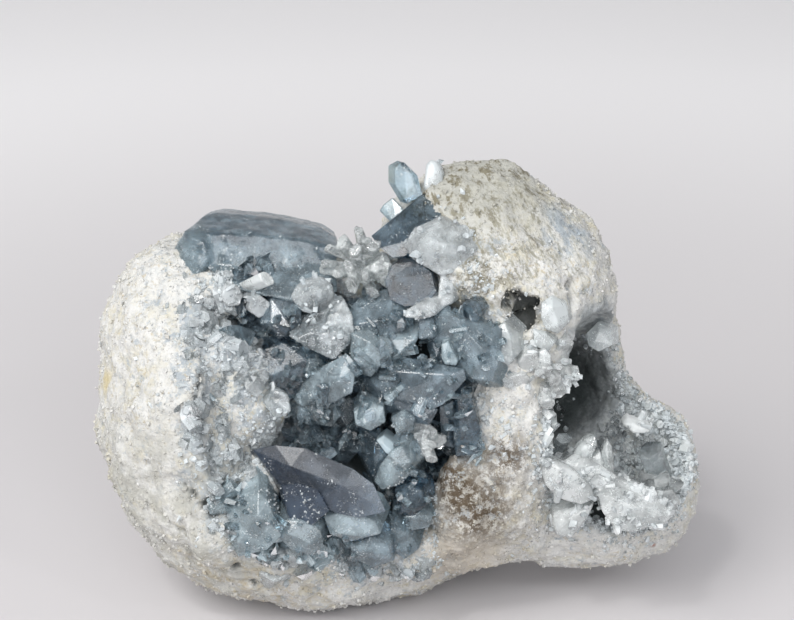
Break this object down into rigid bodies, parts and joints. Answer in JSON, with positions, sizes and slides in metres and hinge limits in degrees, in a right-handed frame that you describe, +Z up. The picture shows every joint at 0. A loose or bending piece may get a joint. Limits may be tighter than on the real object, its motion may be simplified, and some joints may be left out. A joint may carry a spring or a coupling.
{
  "type": "celestite geode",
  "caption": "Two-lobed nodule of pale rock, broken open over a deep hollow of slate-blue crystals and a smaller side hollow of clear ones; stands on a small flat spot.",
  "frame": {"origin": "on the surface the geode stands on, under the middle of its bounding box", "axes": "+X along the geode from its large lobe to its side hollow, +Y from the broken-open front to the back, +Z up"},
  "size_m": [0.1416, 0.082, 0.1077],
  "materials": {
    "rock": "chalky, sugary off-white rock with tan specks, blue-grey patches and brown stains",
    "blue_crystal": "see-through slate-blue crystal with milky veils and frosted patches",
    "clear_crystal": "see-through, nearly colourless crystal with white veils"
  },
  "bodies": {
    "root": {"rind": "rock", "front_crystals": "blue_crystal", "ledge_crystal": "blue_crystal", "side_crystals": "clear_crystal", "crown_crystals": "clear_crystal"}
  },
  "joints": []
}
